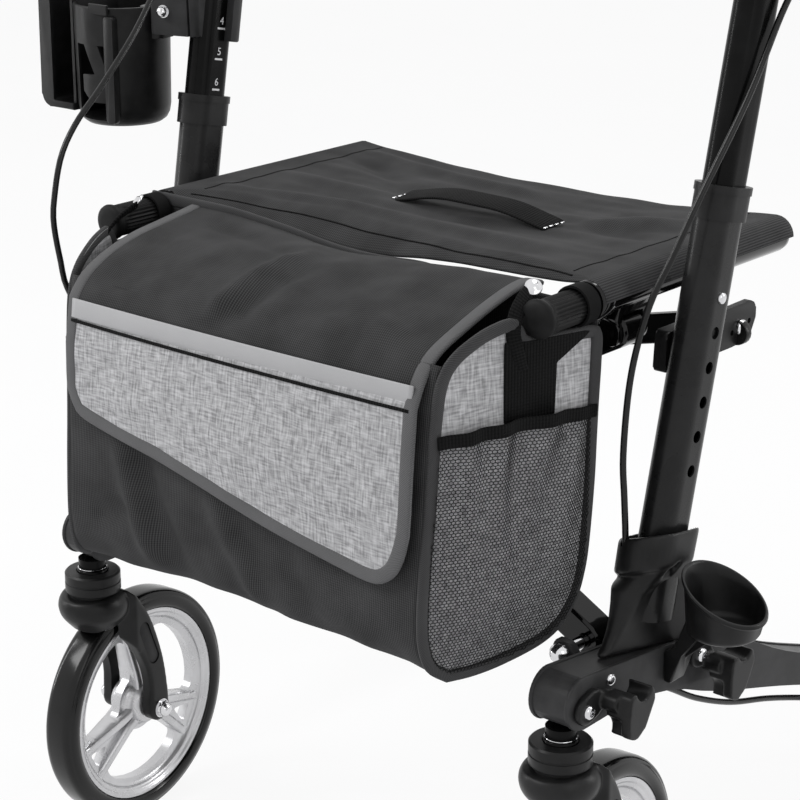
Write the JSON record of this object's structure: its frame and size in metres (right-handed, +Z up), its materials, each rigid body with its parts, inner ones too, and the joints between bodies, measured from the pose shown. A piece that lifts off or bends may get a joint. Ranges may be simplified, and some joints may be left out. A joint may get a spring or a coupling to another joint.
{
  "type": "four-wheel rollator",
  "caption": "Folding walking frame on wheels with swivel front casters, hand brakes, height-adjustable handles, fabric seat, front bag, cup and phone holder, and cane cup.",
  "frame": {"origin": "middle of the footprint's box, on the floor", "axes": "+Z up, -Y the front with the bag and the casters, +X the user's left"},
  "size_m": [0.739, 0.6976, 0.9519],
  "materials": {
    "frame_paint": "satin anthracite paint",
    "gloss_black_tube": "gloss black paint",
    "black_plastic": "matt",
    "grip_rubber": "matt",
    "tyre_rubber": "gloss",
    "silver_rim": "silver",
    "chrome": "polished",
    "black_fabric": "woven",
    "grey_fabric": "melange",
    "cable_sheath": "satin"
  },
  "bodies": {
    "side_frame_left": {"side_beam_left": "frame_paint", "foot_bracket_left": "black_plastic", "lower_upright_left": "frame_paint", "upright_collar_left": "black_plastic", "frame_bracket_left": "black_plastic", "pivot_rod_left": "chrome", "caster_stem_left": "chrome", "rear_bracket_left": "black_plastic", "rear_axle_left": "chrome", "brake_cable_left": "cable_sheath", "cane_cup": "black_plastic", "front_peg": "black_plastic", "rear_peg": "black_plastic"},
    "side_frame_right": {"side_beam_right": "frame_paint", "foot_bracket_right": "black_plastic", "lower_upright_right": "frame_paint", "upright_collar_right": "black_plastic", "frame_bracket_right": "black_plastic", "pivot_rod_right": "chrome", "caster_stem_right": "chrome", "rear_bracket_right": "black_plastic", "rear_axle_right": "chrome", "brake_cable_right": "cable_sheath"},
    "cross_bar_b": {"cross_bar_b": "gloss_black_tube", "cross_pivot_bolt": "chrome"},
    "cross_bar_a": {"cross_bar_a": "gloss_black_tube"},
    "seat_rail_left": {"seat_rail_left": "gloss_black_tube", "front_grip_left": "grip_rubber", "seat_sling": "black_fabric", "bag": "black_fabric"},
    "seat_rail_right": {"seat_rail_right": "gloss_black_tube", "front_grip_right": "grip_rubber"},
    "bag_flap": {"bag_flap": "grey_fabric"},
    "cup_holder": {"cup_holder": "black_plastic"},
    "fold_link_left": {"fold_link_left": "frame_paint"},
    "caster_left": {"caster_fork_left": "black_plastic", "caster_axle_left": "chrome"},
    "caster_wheel_left": {"caster_rim_left": "silver_rim", "caster_tyre_left": "tyre_rubber"},
    "rear_wheel_left": {"rear_rim_left": "silver_rim", "rear_tyre_left": "tyre_rubber"},
    "handle_left": {"upper_upright_left": "gloss_black_tube", "handle_housing_left": "black_plastic", "handle_grip_left": "grip_rubber"},
    "height_button_left": {"height_button_left": "chrome"},
    "brake_lever_left": {"brake_lever_left": "black_plastic"},
    "brake_arm_left": {"brake_arm_left": "black_plastic"},
    "fold_link_right": {"fold_link_right": "frame_paint"},
    "caster_right": {"caster_fork_right": "black_plastic", "caster_axle_right": "chrome"},
    "caster_wheel_right": {"caster_rim_right": "silver_rim", "caster_tyre_right": "tyre_rubber"},
    "rear_wheel_right": {"rear_rim_right": "silver_rim", "rear_tyre_right": "tyre_rubber"},
    "handle_right": {"upper_upright_right": "gloss_black_tube", "handle_housing_right": "black_plastic", "handle_grip_right": "grip_rubber"},
    "height_button_right": {"height_button_right": "chrome"},
    "brake_lever_right": {"brake_lever_right": "black_plastic"},
    "brake_arm_right": {"brake_arm_right": "black_plastic"}
  },
  "joints": [
    {"name": "fold", "type": "hinge", "parent": "side_frame_left", "child": "cross_bar_b", "pos_m": [0.2485, -0.1857, 0.28], "axis": [0, 1, 0], "range_deg": [0, 42], "deforming": ["seat_sling", "bag", "bag_flap"]},
    {"name": "cross_scissor", "type": "hinge", "parent": "cross_bar_b", "child": "cross_bar_a", "pos_m": [0.0385, -0.1597, 0.39354], "axis": [0, 1, 0], "range_deg": [-84, 0]},
    {"name": "side_fold_right", "type": "hinge", "parent": "cross_bar_a", "child": "side_frame_right", "pos_m": [-0.1715, -0.1597, 0.28], "axis": [0, 1, 0], "range_deg": [0, 42]},
    {"name": "rail_fold_left", "type": "hinge", "parent": "cross_bar_a", "child": "seat_rail_left", "pos_m": [0.2465, -0.1597, 0.506], "axis": [0, 1, 0], "range_deg": [0, 42]},
    {"name": "rail_fold_right", "type": "hinge", "parent": "cross_bar_b", "child": "seat_rail_right", "pos_m": [-0.1695, -0.1857, 0.506], "axis": [0, 1, 0], "range_deg": [-42, 0]},
    {"name": "stay_left", "type": "hinge", "parent": "side_frame_left", "child": "fold_link_left", "pos_m": [0.2525, -0.0387, 0.4827], "axis": [0, 1, 0], "range_deg": [-54.3, 0]},
    {"name": "caster_swivel_left", "type": "hinge", "parent": "side_frame_left", "child": "caster_left", "pos_m": [0.2785, -0.2662, 0.2], "axis": [0, 0, 1], "continuous": true},
    {"name": "caster_spin_left", "type": "hinge", "parent": "caster_left", "child": "caster_wheel_left", "pos_m": [0.27459, -0.21966, 0.1], "axis": [0.9965, 0.0837, 0], "continuous": true},
    {"name": "rear_spin_left", "type": "hinge", "parent": "side_frame_left", "child": "rear_wheel_left", "pos_m": [0.3165, 0.2488, 0.1], "axis": [1, 0, 0], "continuous": true},
    {"name": "height_left", "type": "slide", "parent": "side_frame_left", "child": "handle_left", "axis": [0.0279, 0.1948, 0.9804], "range_m": [-0.125, 0], "deforming": ["brake_cable_left", "height_button_left"]},
    {"name": "button_left", "type": "slide", "parent": "handle_left", "child": "height_button_left", "axis": [-0.9996, 0.0054, 0.0274], "range_m": [0, 0.005], "stiffness_N_per_m": 600},
    {"name": "brake_lever_left", "type": "hinge", "parent": "handle_left", "child": "brake_lever_left", "pos_m": [0.301, -0.0202, 0.905], "axis": [1, 0, 0], "range_deg": [-20, 12], "stiffness_Nm_per_rad": 2},
    {"name": "brake_arm_left", "type": "hinge", "parent": "side_frame_left", "child": "brake_arm_left", "pos_m": [0.2785, 0.1458, 0.158], "axis": [1, 0, 0], "range_deg": [-3, 5]},
    {"name": "stay_right", "type": "hinge", "parent": "side_frame_right", "child": "fold_link_right", "pos_m": [-0.1755, -0.0387, 0.4827], "axis": [0, 1, 0], "range_deg": [0, 54.3]},
    {"name": "caster_swivel_right", "type": "hinge", "parent": "side_frame_right", "child": "caster_right", "pos_m": [-0.2015, -0.2662, 0.2], "axis": [0, 0, 1], "continuous": true},
    {"name": "caster_spin_right", "type": "hinge", "parent": "caster_right", "child": "caster_wheel_right", "pos_m": [-0.20541, -0.21966, 0.1], "axis": [0.9965, 0.0837, 0], "continuous": true},
    {"name": "rear_spin_right", "type": "hinge", "parent": "side_frame_right", "child": "rear_wheel_right", "pos_m": [-0.2395, 0.2488, 0.1], "axis": [1, 0, 0], "continuous": true},
    {"name": "height_right", "type": "slide", "parent": "side_frame_right", "child": "handle_right", "axis": [-0.0279, 0.1948, 0.9804], "range_m": [-0.125, 0], "deforming": ["brake_cable_right", "height_button_right"]},
    {"name": "button_right", "type": "slide", "parent": "handle_right", "child": "height_button_right", "axis": [0.9996, 0.0054, 0.0274], "range_m": [0, 0.005], "stiffness_N_per_m": 600},
    {"name": "brake_lever_right", "type": "hinge", "parent": "handle_right", "child": "brake_lever_right", "pos_m": [-0.224, -0.0202, 0.905], "axis": [1, 0, 0], "range_deg": [-20, 12], "stiffness_Nm_per_rad": 2},
    {"name": "brake_arm_right", "type": "hinge", "parent": "side_frame_right", "child": "brake_arm_right", "pos_m": [-0.2015, 0.1458, 0.158], "axis": [1, 0, 0], "range_deg": [-3, 5]},
    {"name": "bag_flap", "type": "hinge", "parent": "seat_rail_left", "child": "bag_flap", "pos_m": [0.0385, -0.2102, 0.5445], "axis": [1, 0, 0], "range_deg": [-110, 0]},
    {"name": "cup_holder", "type": "slide", "parent": "side_frame_right", "child": "cup_holder", "axis": [-0.0279, 0.1948, 0.9804], "range_m": [0, 0.04]}
  ],
  "couplings": [
    {"joint": "cross_scissor", "follows": "fold", "ratio": -2},
    {"joint": "side_fold_right", "follows": "fold", "ratio": 1},
    {"joint": "rail_fold_left", "follows": "fold", "ratio": 1},
    {"joint": "rail_fold_right", "follows": "fold", "ratio": -1},
    {"joint": "stay_left", "follows": "fold", "ratio": -1.2914},
    {"joint": "stay_right", "follows": "fold", "ratio": 1.2914},
    {"joint": "brake_arm_left", "follows": "brake_lever_left", "ratio": -0.25},
    {"joint": "brake_arm_right", "follows": "brake_lever_right", "ratio": -0.25}
  ]
}
